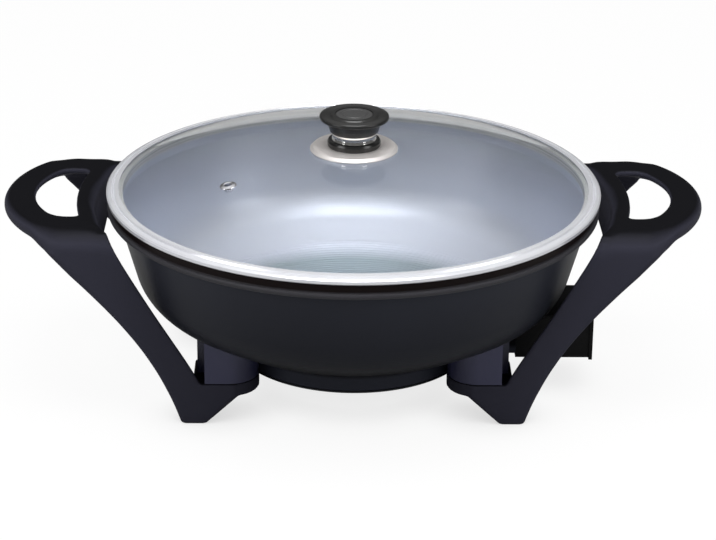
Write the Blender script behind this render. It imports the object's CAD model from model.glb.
import math
import bmesh
import bpy
from mathutils import Matrix, Vector


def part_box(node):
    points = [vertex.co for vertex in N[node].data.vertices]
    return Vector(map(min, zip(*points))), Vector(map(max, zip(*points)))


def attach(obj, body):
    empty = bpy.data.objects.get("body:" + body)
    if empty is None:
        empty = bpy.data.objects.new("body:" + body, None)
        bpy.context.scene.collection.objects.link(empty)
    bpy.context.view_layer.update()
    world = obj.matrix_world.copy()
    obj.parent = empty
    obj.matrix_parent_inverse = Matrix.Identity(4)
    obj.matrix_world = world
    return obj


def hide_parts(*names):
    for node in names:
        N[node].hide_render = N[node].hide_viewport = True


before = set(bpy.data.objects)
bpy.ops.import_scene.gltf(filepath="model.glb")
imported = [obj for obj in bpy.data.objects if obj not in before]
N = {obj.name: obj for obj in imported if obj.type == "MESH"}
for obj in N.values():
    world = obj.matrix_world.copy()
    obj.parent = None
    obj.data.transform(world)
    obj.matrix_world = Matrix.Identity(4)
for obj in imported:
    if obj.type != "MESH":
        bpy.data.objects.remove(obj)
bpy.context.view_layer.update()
MM = 0.001

# ---------- sizes read from the frame, in mm ----------
# LID_GAP: the lid's seat over the lip's top. POST_GAP: a post over its arm. LIP_H: the lip's height
LID_GAP, POST_GAP, LIP_H = 0.3, 0.1, 20
LID_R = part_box("lid_band")[1].x / MM
PAN_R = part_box("pan")[1].x / MM
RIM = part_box("pan")[1].z / MM + LID_GAP
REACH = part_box("handle_right")[1].x / MM
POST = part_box("post_rear_right")
POST_R = (POST[1].y - POST[0].y) / MM / 2
POST_X = POST[0].x / MM + POST_R
POST_Y = (POST[1].y + POST[0].y) / MM / 2
ARM_TOP = POST[0].z / MM - POST_GAP
PIN_Z = (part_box("terminal_pins")[1].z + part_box("terminal_pins")[0].z) / MM / 2


# ---------- node helpers ----------
class Mat:
    """A procedural material on one Principled shader."""

    def __init__(self, name, **sockets):
        self.m = bpy.data.materials.new(name)
        self.m.use_nodes = True
        self.t = self.m.node_tree
        self.out = self.t.nodes["Material Output"]
        self.b = self.t.nodes["Principled BSDF"]
        for key, value in sockets.items():
            self.b.inputs[key.replace("_", " ")].default_value = value

    def node(self, kind, **props):
        n = self.t.nodes.new(kind)
        for key, value in props.items():
            setattr(n, key, value)
        return n

    def put(self, src, dst):
        self.t.links.new(src, dst)

    def coords(self, scale=(1, 1, 1)):
        g = self.node("ShaderNodeTexCoord")
        m = self.node("ShaderNodeMapping")
        m.inputs["Scale"].default_value = scale
        self.put(g.outputs["Object"], m.inputs["Vector"])
        return m.outputs["Vector"]

    def xyz(self):
        g = self.node("ShaderNodeTexCoord")
        s = self.node("ShaderNodeSeparateXYZ")
        self.put(g.outputs["Object"], s.inputs[0])
        return s.outputs

    def noise(self, scale, detail):
        n = self.node("ShaderNodeTexNoise")
        n.inputs["Scale"].default_value = scale
        n.inputs["Detail"].default_value = detail
        n.inputs["Roughness"].default_value = 0.55
        self.put(self.coords(), n.inputs["Vector"])
        return n.outputs["Fac"]

    def math(self, op, a, b=0.0):
        n = self.node("ShaderNodeMath", operation=op)
        for i, v in enumerate((a, b)):
            if isinstance(v, (int, float)):
                n.inputs[i].default_value = v
            else:
                self.put(v, n.inputs[i])
        return n.outputs[0]

    def ramp(self, fac, stops):
        """A colour ramp through stops of place and colour, or place and grey."""
        r = self.node("ShaderNodeValToRGB")
        e = r.color_ramp.elements
        while len(e) < len(stops):
            e.new(0.5)
        for el, (pos, col) in zip(e, stops):
            el.position = pos
            rgb = col if isinstance(col, (tuple, list)) else (col, col, col)
            el.color = (rgb[0], rgb[1], rgb[2], 1)
        self.put(fac, r.inputs["Fac"])
        return r.outputs["Color"]

    def spread(self, fac, lo, hi, out_lo=0.0, out_hi=1.0):
        """Map lo to hi onto another range, held at its ends."""
        n = self.node("ShaderNodeMapRange", clamp=True)
        for i, v in enumerate((lo, hi, out_lo, out_hi)):
            n.inputs[i + 1].default_value = v
        self.put(fac, n.inputs[0])
        return n.outputs[0]

    def mix(self, fac, a, b):
        n = self.node("ShaderNodeMix", data_type="RGBA")
        for i, v in ((0, fac), (6, a), (7, b)):
            if isinstance(v, (int, float)):
                n.inputs[i].default_value = v
            elif isinstance(v, (tuple, list)):
                n.inputs[i].default_value = (v[0], v[1], v[2], 1)
            else:
                self.put(v, n.inputs[i])
        return n.outputs[2]

    def bump(self, height, distance, normal=None):
        n = self.node("ShaderNodeBump")
        n.inputs["Strength"].default_value = 1.0
        n.inputs["Distance"].default_value = distance
        self.put(height, n.inputs["Height"])
        if normal is not None:
            self.put(normal, n.inputs["Normal"])
        return n.outputs[0]

    def color(self, value):
        self.put(value, self.b.inputs["Base Color"])

    def rough(self, value):
        self.put(value, self.b.inputs["Roughness"])

    def normal(self, value):
        self.put(value, self.b.inputs["Normal"])


def dress(material, *nodes):
    """Give CAD nodes a material."""
    for name in nodes:
        o = N[name]
        if not o.data.materials:
            o.data.materials.append(material.m)
        for i in range(len(o.material_slots)):
            o.material_slots[i].material = material.m


# ---------- materials ----------
def moulded(name, dark, light, rough, grain=0.00006):
    """Moulded or painted surface: fine grain, with a slow drift in tone and roughness."""
    m = Mat(name, Roughness=rough)
    drift = m.noise(9, 2)
    fine = m.noise(900, 2)
    m.color(m.ramp(drift, [(0.25, dark), (0.75, light)]))
    worn = m.spread(drift, 0.3, 0.7, rough - 0.05, rough + 0.05)
    m.rough(m.math("ADD", worn, m.math("MULTIPLY", fine, 0.08)))
    m.normal(m.bump(fine, grain))
    return m


def radius(m):
    """Distance from the part's axis, and the coordinates it comes from."""
    s = m.xyz()
    squares = m.math("ADD", m.math("MULTIPLY", s[0], s[0]), m.math("MULTIPLY", s[1], s[1]))
    return m.math("SQRT", squares), s


# Pan: matt slate coating outside; pearl grey coating inside, with the turned rings of its floor.
# Heights and radii in metres.
BASE_LOW, LIP_LOW, LIP_TOP = 0.030, (RIM - 12) * MM, RIM * MM
INSIDE_LOW, INSIDE_R, WALL_TOP = 0.0405, 0.1772, 0.125
FLOOR_R, FLOOR_FADE, RINGS_R, RINGS_FADE = 0.116, 0.012, 0.122, 0.004
pan = Mat("pan_coating", Roughness=0.38)
r, s = radius(pan)
speck = pan.noise(1400, 2)
drift = pan.noise(7, 2)
z = s[2]
# tone over height, fitted to the photograph: a paler base ring, then near black rising to slate
slate = pan.ramp(drift, [(0.3, (0.027, 0.029, 0.040)), (0.7, (0.033, 0.036, 0.050))])
tone = pan.ramp(pan.spread(z, BASE_LOW, 0.135),
                [(0.0, 1.0), (0.06, 1.0), (0.09, 0.06), (0.5, 0.42), (1.0, 0.85)])
outside_col = pan.mix(tone, (0.002, 0.002, 0.0025), slate)
# the lip's lower bead is paler, and its outer face is near black
lip_col = pan.ramp(pan.spread(z, LIP_LOW, LIP_TOP),
                   [(0.42, (0.045, 0.044, 0.050)), (0.52, (0.008, 0.004, 0.004))])
outside_col = pan.mix(pan.math("GREATER_THAN", z, LIP_LOW + 0.0001), outside_col, lip_col)
inside_col = pan.mix(pan.spread(speck, 0.55, 0.75), (0.74, 0.77, 0.87), (0.86, 0.89, 0.98))
# the inner face is told by its normal, which points up and towards the axis; the lip's inner wall may lean
geo = pan.node("ShaderNodeNewGeometry")
nz = pan.node("ShaderNodeSeparateXYZ")
pan.put(geo.outputs["Normal"], nz.inputs[0])
inward = pan.math("LESS_THAN", pan.math("ADD", pan.math("MULTIPLY", nz.outputs[0], s[0]),
                                        pan.math("MULTIPLY", nz.outputs[1], s[1])), 0.0005)
upright = pan.math("MULTIPLY", pan.math("GREATER_THAN", z, WALL_TOP), 0.3)
up = pan.math("GREATER_THAN", pan.math("ADD", nz.outputs[2], upright), 0.0)
is_inner = pan.math("MULTIPLY", pan.math("MULTIPLY", inward, up), pan.math("GREATER_THAN", z, INSIDE_LOW))
is_inner = pan.math("MULTIPLY", is_inner, pan.math("LESS_THAN", r, INSIDE_R))
floor_zone = pan.spread(r, FLOOR_R, FLOOR_R - FLOOR_FADE)
inside_col = pan.mix(floor_zone, inside_col, (0.34, 0.41, 0.46))
rings = pan.node("ShaderNodeTexWave", wave_type="RINGS", rings_direction="SPHERICAL")
rings.inputs["Scale"].default_value = 150
rings.inputs["Distortion"].default_value = 0.3
pan.put(pan.coords((1, 1, 0)), rings.inputs["Vector"])
pan.color(pan.mix(is_inner, outside_col, inside_col))
ring_zone = pan.math("MULTIPLY", is_inner, pan.spread(r, RINGS_R, RINGS_R - RINGS_FADE))
grainy = pan.bump(speck, 0.00005)
pan.normal(pan.bump(pan.math("MULTIPLY", rings.outputs["Fac"], ring_zone), 0.00025, normal=grainy))
pan.rough(pan.math("ADD", pan.spread(drift, 0.3, 0.7, 0.34, 0.40), pan.math("MULTIPLY", is_inner, 0.14)))
pan.put(pan.math("MULTIPLY", is_inner, 0.85), pan.b.inputs["Metallic"])
shine = pan.math("ADD", pan.math("MULTIPLY", is_inner, 0.4), 0.1)
pan.put(shine, pan.b.inputs["Specular IOR Level"])
dress(pan, "pan")

handle = moulded("handle_phenolic", (0.031, 0.031, 0.045), (0.037, 0.037, 0.054), 0.5)
handle.b.inputs["Specular IOR Level"].default_value = 0.08
# the grips' tops are darker than their sides, as fitted to the photograph
faces = handle.node("ShaderNodeNewGeometry")
face_z = handle.node("ShaderNodeSeparateXYZ")
handle.put(faces.outputs["Normal"], face_z.inputs[0])
plain = handle.b.inputs["Base Color"].links[0].from_socket
handle.color(handle.mix(handle.spread(face_z.outputs[2], 0.45, 0.95), plain, (0.0015, 0.0015, 0.003)))
dress(handle, "handle_left", "handle_right")

post = moulded("post_phenolic", (0.028, 0.029, 0.070), (0.038, 0.039, 0.092), 0.30)
dress(post, "post_front_left", "post_front_right", "post_rear_left", "post_rear_right")
guard = moulded("guard_phenolic", (0.003, 0.003, 0.0035), (0.005, 0.005, 0.0055), 0.5)
guard.b.inputs["Specular IOR Level"].default_value = 0.2
dress(guard, "probe_guard")
cover = moulded("cover_paint", (0.022, 0.024, 0.029), (0.028, 0.030, 0.036), 0.45, 0.00008)
dress(cover, "base_cover")

glass = Mat("dome_glass", Roughness=0.0, IOR=1.5)
glass.b.inputs["Transmission Weight"].default_value = 1.0
glass.color(glass.ramp(glass.noise(6, 1), [(0.3, (0.96, 0.98, 0.985)), (0.7, (0.98, 0.99, 0.995))]))
glass.normal(glass.bump(glass.noise(18, 1), 0.00002))
dress(glass, "lid_glass")


def turned(name, a, b, rough, scale=420, depth=0.00002):
    """Turned or spun metal: fine rings round the axis."""
    m = Mat(name, Roughness=rough, Metallic=1.0)
    w = m.node("ShaderNodeTexWave", wave_type="RINGS", rings_direction="SPHERICAL")
    w.inputs["Scale"].default_value = scale
    w.inputs["Distortion"].default_value = 1.0
    w.inputs["Detail"].default_value = 2
    m.put(m.coords((1, 1, 0)), w.inputs["Vector"])
    drift = m.noise(30, 2)
    m.color(m.ramp(drift, [(0.3, a), (0.7, b)]))
    m.normal(m.bump(w.outputs["Fac"], depth))
    m.rough(m.spread(drift, 0.3, 0.7, rough * 0.85, rough * 1.2))
    return m


band = turned("band_steel_polish", (0.84, 0.85, 0.90), (0.90, 0.91, 0.95), 0.2)
# inside the band's lip its skirt shows through the glass; the lines of its beads are colour alone
BAND_LIP, SKIRT_LOW, SKIRT_TOP = 0.0092, 0.1432, 0.1500
r, s = radius(band)
skirt = band.math("LESS_THAN", r, LID_R * MM - BAND_LIP)
bright = band.b.inputs["Base Color"].links[0].from_socket
beads = band.ramp(band.spread(s[2], SKIRT_LOW, SKIRT_TOP),
                  [(0.0, 0.2), (0.08, 0.95), (0.30, 0.62), (0.46, 0.95), (0.60, 0.45), (0.70, 0.95),
                   (1.0, 0.9)])
band.color(band.mix(skirt, bright, beads))
band.put(band.math("SUBTRACT", 0.5, band.math("MULTIPLY", skirt, 0.5)), band.b.inputs["Metallic"])
dress(band, "lid_band")

eyelet = turned("eyelet_steel", (0.76, 0.76, 0.80), (0.84, 0.84, 0.88), 0.2, 900)
dress(eyelet, "vent_eyelet")
plate = turned("plate_steel_turned", (0.80, 0.76, 0.74), (0.88, 0.84, 0.82), 0.34, 900, 0.00003)
plate.b.inputs["Metallic"].default_value = 0.6
dress(plate, "knob_plate")
neck = turned("neck_chrome_polish", (0.80, 0.79, 0.77), (0.86, 0.85, 0.83), 0.08)
dress(neck, "knob_neck")
steel = turned("zinc_steel", (0.52, 0.52, 0.54), (0.60, 0.60, 0.62), 0.3, 700)
dress(steel, "terminal_pins", "sensor_sleeve", "cover_screws", "guard_screws", "leg_screws", "leg_washers",
      "knob_washer", "knob_screw")
sheath = turned("sheath_steel", (0.16, 0.14, 0.12), (0.26, 0.23, 0.20), 0.4, 500)
dress(sheath, "heating_element")
brass = turned("insert_brass_turned", (0.62, 0.44, 0.18), (0.70, 0.50, 0.22), 0.28, 600)
dress(brass, "knob_insert")

gloss = moulded("knob_gloss", (0.010, 0.010, 0.010), (0.016, 0.016, 0.015), 0.2, 0.00001)
dress(gloss, "knob_cap", "knob_body", "knob_collar")
disc = moulded("knob_disc_satin", (0.040, 0.040, 0.040), (0.050, 0.050, 0.050), 0.38)
dress(disc, "knob_disc")
ceramic = moulded("bush_ceramic", (0.72, 0.69, 0.60), (0.78, 0.75, 0.67), 0.6)
dress(ceramic, "terminal_bushes")
seal = moulded("seal_silicone", (0.12, 0.12, 0.12), (0.15, 0.15, 0.15), 0.55)
dress(seal, "glass_gasket_upper", "glass_gasket_lower")


# ---------- handles and guard: fuller forms than the solids they stand for, in mm ----------
# the grip: its plan, then its thicknesses
GRIP_IN, INNER_BAR, OUTER_BAR = LID_R + 8, 13.5, 23
GRIP_HALF, HOLE_HALF, GRIP_END_R = 82, 48, 100
GRIP_TOP, GRIP_RISE, GRIP_SAG, HOLE_DIP = RIM - 3, 2, 1, 3
GRIP_T, GRIP_END_T, HOLE_EDGE_T, SHOULDER_R, EDGE_R = 17, 11.5, 5, 16, 7
SKIRT_DROP, SKIRT_OUT = 5.5, 7
HOLE_IN = GRIP_IN + INNER_BAR
END_C = REACH - GRIP_END_R

# the legs, their arms and feet
LEG_TOP = GRIP_TOP - SHOULDER_R
FOOT_OUT, FOOT_W, LEG_SPLAY, LEG_DEPTH, LEG_EDGE = 124, 18, 5, 18, 4
LEG_THIN, LEG_IN_R, LEG_FRONT_R, LEG_BACK_R, BOWL_GAP = 0.28, 6.5, 2, 3, 3.5
ARM_T, ARM_BACK = 9.8, 8.5
ARM_Z = ARM_TOP - ARM_T
CROTCH_X = POST_X + 19.4
RING_BORE, SCREW_R, SCREW_HEAD_R, SCREW_HEAD_IN = 88.6, 2.8, 6, 5

# the guard, and its bores as places along y and radii: bushes outside, screws, and the sleeve in the middle
GUARD_HALF, GUARD_H, GUARD_DROP, GUARD_WALL, GUARD_LIP, GUARD_LIP_W = 30, 34, 14.5, 2.5, 1, 2.5
GUARD_BORES = ((-20, 5.7), (-9.5, 2.3), (0, 4.7), (9.5, 2.3), (20, 5.7))
RING_TOP, BOWL_EASE = 41, 0.4

VOXEL, SMOOTHING, CRISP = 1.1, 6, math.radians(32)


def ease(a, b, x):
    t = max(0.0, min(1.0, (x - a) / (b - a)))
    return t * t * (3 - 2 * t)


def arc(c, r, a0, a1, n):
    return [Vector((c[0] + r * math.cos(math.radians(a0 + (a1 - a0) * k / n)),
                    c[1] + r * math.sin(math.radians(a0 + (a1 - a0) * k / n)))) for k in range(n + 1)]


def half_outline(end_r, half, inner_r, r1, r2):
    """Half of a grip's outline, or of its hand hole, with matching stations from the outer end to the pan."""
    by = half - r1
    bx = END_C + math.sqrt((end_r - r1) ** 2 - by * by)
    a1 = math.degrees(math.atan2(by, bx - END_C))
    dy, dr = half - r2, inner_r + r2
    dx = math.sqrt(dr * dr - dy * dy)
    a2 = math.degrees(math.atan2(dy, dx))
    side = [Vector((bx + (dx - bx) * k / 8, half)) for k in range(1, 8)]
    return (arc((END_C, 0), end_r, 0, a1, 24) + arc((bx, by), r1, a1 + 3, 90, 12) + side
            + arc((dx, dy), r2, 90, 180 + a2, 8) + arc((0, 0), inner_r, a2 * 0.93, 0, 16))


def whole(half):
    """A half outline and its mirror image, as one closed plan."""
    return half + [Vector((p.x, -p.y)) for p in half[-2:0:-1]]


def crown(p):
    """Height of the grip's top: it rises outward, and falls to the sides and to the pan."""
    d = p.length
    return (GRIP_TOP - GRIP_SAG * (p.y / GRIP_HALF) ** 4 + GRIP_RISE * (d - GRIP_IN) / (REACH - GRIP_IN)
            - HOLE_DIP * max(0.0, (HOLE_IN + 4 - d) / (INNER_BAR + 4)) ** 2)


def grip_section(o, h, k):
    """A section from the hole's edge h to the outline o. k is 1 beside the pan, where a skirt hangs down."""
    w = (o - h).length
    e = (o - h) / w
    at_leg = ease(0.8 * GRIP_HALF, 0.99 * GRIP_HALF, abs(o.y))
    t = GRIP_T if k > 0 else GRIP_END_T + (GRIP_T - GRIP_END_T) * at_leg
    r2 = 4 - 3.4 * max(at_leg, 0.5 * k)
    shoulder = ease(0.4 * GRIP_HALF, 0.95 * GRIP_HALF, abs(o.y))
    r1 = min(EDGE_R + (SHOULDER_R - EDGE_R) * shoulder, w * 0.45, t - r2 - 0.4)
    r3 = 2
    spots = ([(w - r1 + p.x, p.y - r1) for p in arc((0, 0), r1, 0, 90, 10)]
             + [(r3 + p.x, p.y - r3) for p in arc((0, 0), r3, 90, 180, 4)]
             + [(r3 + p.x, r3 + p.y - HOLE_EDGE_T) for p in arc((0, 0), r3, 180, 270, 4)]
             + [(w - r2 + p.x + SKIRT_OUT * k, r2 + p.y - t - SKIRT_DROP * k)
                for p in arc((0, 0), r2, 270, 360, 4)])
    ring = []
    for s, z in spots:
        p = h + e * s
        ring.append((p.x, p.y, crown(h + e * min(s, w)) + z))
    return ring


def bezier_x(p, z):
    """Where a falling Bezier edge crosses height z."""
    def at(t, i):
        u = 1 - t
        return u ** 3 * p[0][i] + 3 * u * u * t * p[1][i] + 3 * u * t * t * p[2][i] + t ** 3 * p[3][i]

    lo_t, hi_t = 0.0, 1.0
    for _ in range(30):
        mid = (lo_t + hi_t) / 2
        lo_t, hi_t = (mid, hi_t) if at(mid, 1) > z else (lo_t, mid)
    return at(lo_t, 0)


def bowl_r(z):
    """The pan's outer radius at height z, found by a ray at its side. The lip counts as upright."""
    if z > RIM - LIP_H:
        return PAN_R
    found, at, _, _ = N["pan"].ray_cast(Vector((0, 1, z * MM)), Vector((0, -1, 0)))
    return at.y / MM if found else 0.0


def leg_slice(z, xi, xo, lean, r_in, r_out, inset=0.0):
    """A leg's outline at height z from xi to xo, kept clear of the bowl at its inner back corner."""
    yf = GRIP_HALF + LEG_SPLAY * (LEG_TOP - max(z, ARM_TOP)) / (LEG_TOP - ARM_TOP) - inset
    yb = yf - LEG_DEPTH + LEG_THIN * LEG_DEPTH * ease(LEG_TOP - 30, LEG_TOP, z)
    clear = bowl_r(z) + BOWL_GAP
    xb = min(max(xi + lean, math.sqrt(max(0.0, clear * clear - yb * yb))), xo - 4)
    q = [Vector((xi, yf)), Vector((xo - inset, yf)), Vector((xo - inset, yb)), Vector((xb, yb))]
    ring = []
    for i, r in enumerate((r_in, r_out, LEG_BACK_R, LEG_BACK_R)):
        p, u, v = q[i], (q[i - 1] - q[i]).normalized(), (q[(i + 1) % 4] - q[i]).normalized()
        for k in range(6):
            t = k / 5
            c = (1 - t) ** 2 * (p + u * r) + 2 * t * (1 - t) * p + t * t * (p + v * r)
            ring.append((c.x, c.y, z))
    return ring


def leg_rings():
    """Level slices of a leg from inside the grip's shoulder to the foot, between two falling Bezier edges."""
    run = REACH - FOOT_OUT
    outer = [(FOOT_OUT + 0.82 * run, 0.956 * RIM), (FOOT_OUT + 0.41 * run, 0.606 * RIM),
             (FOOT_OUT + 0.143 * run, 0.397 * RIM), (FOOT_OUT, 0)]
    ix, iz = 0.925 * GRIP_IN - CROTCH_X, 0.966 * RIM - ARM_TOP
    inner = [(CROTCH_X + ix, ARM_TOP + iz), (CROTCH_X + 0.599 * ix, ARM_TOP + 0.524 * iz),
             (CROTCH_X + 0.131 * ix, ARM_TOP + 0.169 * iz), (CROTCH_X, ARM_TOP)]
    rings = []
    for h in (0.82, 0.6, 0.3):
        z = LEG_TOP + h * SHOULDER_R
        sink = SHOULDER_R - math.sqrt(SHOULDER_R ** 2 * (1 - h * h)) + 0.3
        rings.append(leg_slice(z, bezier_x(inner, z), bezier_x(outer, LEG_TOP), LEG_IN_R, LEG_FRONT_R,
                               LEG_DEPTH / 2, sink))
    for k in range(40):
        z = LEG_TOP + (ARM_TOP - LEG_TOP) * k / 39
        r_out = LEG_EDGE + (LEG_DEPTH / 2 - LEG_EDGE) * max(0.0, 1 - (LEG_TOP - z) / 16)
        rings.append(leg_slice(z, bezier_x(inner, z), bezier_x(outer, z), LEG_IN_R, LEG_FRONT_R, r_out,
                               0.1 if k == 0 else 0))
    arm_in = POST_X - ARM_BACK
    rings.append(leg_slice(ARM_TOP - 0.4, arm_in, bezier_x(outer, ARM_TOP - 0.4), 0, 5, LEG_EDGE))
    for z in (ARM_Z, ARM_Z * 0.75, ARM_Z * 0.5, ARM_Z * 0.25, 0.8, 0):
        inset = 0.6 if z == 0 else 0
        foot_in = FOOT_OUT - FOOT_W
        rings.append(leg_slice(z, foot_in + (arm_in - foot_in) * z / ARM_Z + inset, bezier_x(outer, z), 2,
                               1.2 + 3.8 * z / ARM_Z, LEG_EDGE, inset))
    return rings


def arm_pad_rings():
    """Half round round the post's seat and square towards the leg, flush with the leg's face."""
    r = GRIP_HALF + LEG_SPLAY - 0.1 - POST_Y
    end_x = CROTCH_X + 6
    plan = arc((POST_X, POST_Y), r, 90, 270, 48) + [Vector((end_x, POST_Y - r)), Vector((end_x, POST_Y + r))]
    return [[(p.x, p.y, z) for p in plan] for z in (ARM_Z, ARM_TOP + 0.1)]


def disc_rings(x, y, r, z0, z1, n=48):
    return [[(p.x, p.y, z) for p in arc((x, y), r, 0, 360 - 360 / n, n - 1)] for z in (z0, z1)]


def loft(bm, rings, closed=False, flip=1):
    """Skin a list of rings into bm, mirrored front to back where flip is -1."""
    vs = [[bm.verts.new((x * MM, y * MM * flip, z * MM)) for x, y, z in ring] for ring in rings]
    m, n = len(rings[0]), len(rings)
    for i in range(n if closed else n - 1):
        for j in range(m):
            bm.faces.new((vs[i][j], vs[i][(j + 1) % m], vs[(i + 1) % n][(j + 1) % m], vs[(i + 1) % n][j]))
    if not closed:
        bm.faces.new(vs[0])
        bm.faces.new(vs[-1])


def mesh_object(name, shells):
    """One mesh from shells, each a list of rings, whether it closes on itself, and its flip."""
    bm = bmesh.new()
    for rings, closed, flip in shells:
        part = bmesh.new()
        loft(part, rings, closed, flip)
        bmesh.ops.recalc_face_normals(part, faces=part.faces)
        tmp = bpy.data.meshes.new("tmp")
        part.to_mesh(tmp)
        part.free()
        bm.from_mesh(tmp)
        bpy.data.meshes.remove(tmp)
    me = bpy.data.meshes.new(name)
    bm.to_mesh(me)
    bm.free()
    o = bpy.data.objects.new(name, me)
    bpy.context.scene.collection.objects.link(o)
    return o


def cut(o, cutter, overlapping=False):
    """Take the cutter away from o. Overlapping says that o's own shells cross."""
    mod = o.modifiers.new("cut", "BOOLEAN")
    mod.operation = "DIFFERENCE"
    mod.solver = "EXACT"
    mod.use_self = overlapping
    mod.object = cutter


def bake(o, *gone):
    """Turn the modifiers into mesh, smooth it but for its crisp edges, and drop the cutters."""
    bpy.context.view_layer.update()
    me = bpy.data.meshes.new_from_object(o.evaluated_get(bpy.context.evaluated_depsgraph_get()))
    o.modifiers.clear()
    o.data = me
    me.polygons.foreach_set("use_smooth", [True] * len(me.polygons))
    me.set_sharp_from_angle(angle=CRISP)
    for g in gone:
        bpy.data.objects.remove(g)


def handle_shell(name):
    """The right handle: grip, legs and arms in one skin, with the ring's seat and the screw bores cut."""
    grip_o = whole(half_outline(GRIP_END_R, GRIP_HALF, GRIP_IN, 15, 6))
    grip_h = whole(half_outline(GRIP_END_R - OUTER_BAR, HOLE_HALF, HOLE_IN, 16, 5))
    half_n = (len(grip_o) + 2) // 2
    rings = []
    for k, (a, b) in enumerate(zip(grip_o, grip_h)):
        j = k if k < half_n else len(grip_o) - k
        rings.append(grip_section(a, b, ease(half_n - 18, half_n - 15, j)))
    shells = [(rings, True, 1)]
    for flip in (1, -1):
        shells += [(leg_rings(), False, flip), (arm_pad_rings(), False, flip)]
    o = mesh_object(name, shells)
    skin = o.modifiers.new("skin", "REMESH")
    skin.mode = "VOXEL"
    skin.voxel_size = VOXEL * MM
    soft = o.modifiers.new("soft", "SMOOTH")
    soft.factor = 0.5
    soft.iterations = SMOOTHING
    low, step, high = ARM_Z - 2, ARM_Z + SCREW_HEAD_IN, ARM_TOP + 2
    stepped = (disc_rings(POST_X, POST_Y, SCREW_HEAD_R, low, step)
               + disc_rings(POST_X, POST_Y, SCREW_R, step, high))
    holes = [(disc_rings(0, 0, RING_BORE, low, high, 128), False, 1)]
    holes += [(stepped, False, flip) for flip in (1, -1)]
    drill = mesh_object(name + "_drill", holes)
    cut(o, drill)
    bake(o, drill)
    o.data.materials.append(handle.m)
    return o


def mirrored(o, name):
    """A copy of o on the other side of the part."""
    other = bpy.data.objects.new(name, o.data.copy())
    other.data.transform(Matrix.Scale(-1, 4, (1, 0, 0)))
    other.data.flip_normals()
    bpy.context.scene.collection.objects.link(other)
    return other


def stands_for(o, node):
    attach(o, "cooker")
    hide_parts(node)


def guard_shell(name):
    """An open box round the pins, as tall as the photograph shows it, with a lip round its mouth."""
    lo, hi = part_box("probe_guard")
    back, mouth, base = lo.x / MM, hi.x / MM, PIN_Z - GUARD_DROP
    inner_back, top = back + GUARD_WALL, base + GUARD_H

    def box_rings(x0, x1, grow, r):
        y, z0, z1 = GUARD_HALF + grow - r, base - grow + r, top + grow - r
        loop = (arc((y, z1), r, 0, 90, 5) + arc((-y, z1), r, 90, 180, 5) + arc((-y, z0), r, 180, 270, 5)
                + arc((y, z0), r, 270, 360, 5))
        return [[(x, p.x, p.y) for p in loop] for x in (x0, x1)]

    def bore(y, r):
        return [[(x, p.x, p.y) for p in arc((y, PIN_Z), r, 0, 350, 35)] for x in (back - 2, inner_back + 2)]

    o = mesh_object(name, [(box_rings(back, mouth, 0, 2.2), False, 1),
                           (box_rings(mouth - GUARD_LIP_W, mouth, GUARD_LIP, 1), False, 1)])
    levels = [RING_TOP + (top + 10 - RING_TOP) * k / 12 for k in range(13)]
    bowl = [[(p.x, p.y, z) for p in arc((0, 0), bowl_r(z) + BOWL_EASE, 0, 357.5, 143)] for z in levels]
    tools = [mesh_object("guard_inside", [(box_rings(inner_back, mouth + 5, -GUARD_WALL, 1), False, 1)]),
             mesh_object("guard_bowl", [(bowl, False, 1)]),
             mesh_object("guard_bores", [(bore(y, r), False, 1) for y, r in GUARD_BORES])]
    for tool in tools:
        cut(o, tool, True)
    bake(o, *tools)
    o.data.materials.append(guard.m)
    return o


bpy.context.view_layer.update()
right = handle_shell("handle_right_shell")
left = mirrored(right, "handle_left_shell")
stands_for(right, "handle_right")
stands_for(left, "handle_left")
stands_for(guard_shell("probe_guard_shell"), "probe_guard")


# ---------- stage, camera, light ----------
def stage_plane(name, size, z):
    """A level square that isn't part of the cooker."""
    corners = [(x * size, y * size, z) for x, y in ((-1, -1), (1, -1), (1, 1), (-1, 1))]
    me = bpy.data.meshes.new(name)
    me.from_pydata(corners, [], [(0, 1, 2, 3)])
    o = bpy.data.objects.new(name, me)
    bpy.context.scene.collection.objects.link(o)
    return o


# the floor looks white to the camera and is greyer as a reflector; ambient occlusion keeps the part's shadow
FLOOR_BOUNCE, FLOOR_SEEN, SHADOW_REACH = (0.45, 0.45, 0.45), (0.95, 0.95, 0.95), 0.035
floor = stage_plane("floor", 12, 0)
fm = Mat("floor_white", Roughness=0.9)
lp = fm.node("ShaderNodeLightPath")
fm.color(fm.mix(lp.outputs["Is Camera Ray"], FLOOR_BOUNCE, FLOOR_SEEN))
near = fm.node("ShaderNodeAmbientOcclusion", samples=8)
near.inputs["Distance"].default_value = SHADOW_REACH
seen = fm.math("MAXIMUM", lp.outputs["Is Camera Ray"], lp.outputs["Is Transmission Ray"])
em = fm.node("ShaderNodeEmission")
em.inputs["Color"].default_value = (1, 1, 1, 1)
em.inputs["Strength"].default_value = 1.0
mx = fm.node("ShaderNodeMixShader")
lit = fm.spread(near.outputs["AO"], 0.2, 0.95, 0.62, 0.93)
fm.put(fm.math("MULTIPLY", seen, lit), mx.inputs[0])
fm.put(fm.b.outputs[0], mx.inputs[1])
fm.put(em.outputs[0], mx.inputs[2])
fm.put(mx.outputs[0], fm.out.inputs["Surface"])
floor.data.materials.append(fm.m)

world = bpy.data.worlds.new("studio")
world.use_nodes = True
bpy.context.scene.world = world
wt = world.node_tree
bg = wt.nodes["Background"]
bg.inputs["Color"].default_value = (1, 1, 1, 1)
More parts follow.
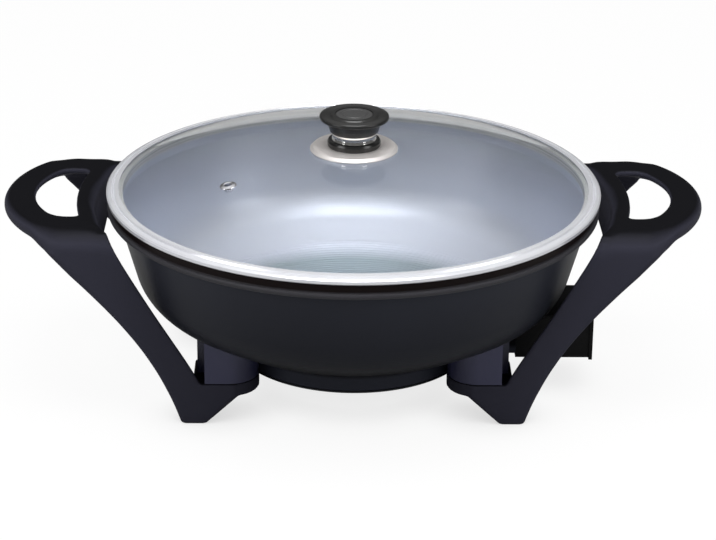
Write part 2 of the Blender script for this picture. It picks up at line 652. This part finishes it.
# the studio is dim at the horizon and bright overhead
sky = wt.nodes.new("ShaderNodeTexCoord")
up_z = wt.nodes.new("ShaderNodeSeparateXYZ")
rise = wt.nodes.new("ShaderNodeMapRange")
for i, v in enumerate((0.38, 0.95, 0.12, 0.90)):
    rise.inputs[i + 1].default_value = v
wt.links.new(sky.outputs["Generated"], up_z.inputs[0])
wt.links.new(up_z.outputs[2], rise.inputs[0])
wt.links.new(rise.outputs[0], bg.inputs["Strength"])
bg2 = wt.nodes.new("ShaderNodeBackground")
bg2.inputs["Strength"].default_value = 1.0
wlp = wt.nodes.new("ShaderNodeLightPath")
wmx = wt.nodes.new("ShaderNodeMixShader")
wt.links.new(wlp.outputs["Is Camera Ray"], wmx.inputs[0])
wt.links.new(bg.outputs[0], wmx.inputs[1])
wt.links.new(bg2.outputs[0], wmx.inputs[2])
wt.links.new(wmx.outputs[0], wt.nodes["World Output"].inputs[0])


LAMP_AIM = (0, 0, 0.1)


def lamp(name, at, size, power, size_y=None, shine=1.0):
    """A soft area lamp aimed at the part."""
    d = bpy.data.lights.new(name, "AREA")
    d.energy = power
    d.size = size
    if size_y:
        d.shape = "RECTANGLE"
        d.size_y = size_y
    o = bpy.data.objects.new(name, d)
    o.location = at
    o.rotation_euler = (Vector(LAMP_AIM) - Vector(at)).to_track_quat("-Z", "Y").to_euler()
    d.specular_factor = shine
    bpy.context.scene.collection.objects.link(o)
    return o


lamp("top", (0.0, -0.45, 1.6), 1.1, 17, 0.8)
lamp("left", (-1.6, -0.9, 1.0), 0.9, 9, shine=0.5)
lamp("right", (1.6, -0.9, 1.0), 0.9, 8, shine=0.5)

# the camera, fitted to the photograph
CAM_AT, CAM_LENS, CAM_SENSOR = (0.003795, -1.68162, 0.79048), 123.75, 36
CAM_YAW, CAM_DOWN, CAM_ROLL = math.radians(-0.83), math.radians(22.7716), math.radians(0.582)
cam_d = bpy.data.cameras.new("camera")
cam_d.sensor_fit = "HORIZONTAL"
cam_d.sensor_width = CAM_SENSOR
cam_d.lens = CAM_LENS
cam = bpy.data.objects.new("camera", cam_d)
cam.matrix_world = (Matrix.Rotation(CAM_YAW, 4, "Z") @ Matrix.Translation(CAM_AT)
                    @ Matrix.Rotation(math.pi / 2 - CAM_DOWN, 4, "X") @ Matrix.Rotation(CAM_ROLL, 4, "Z"))
bpy.context.scene.collection.objects.link(cam)
bpy.context.scene.camera = cam
bpy.context.scene.view_settings.view_transform = "Standard"
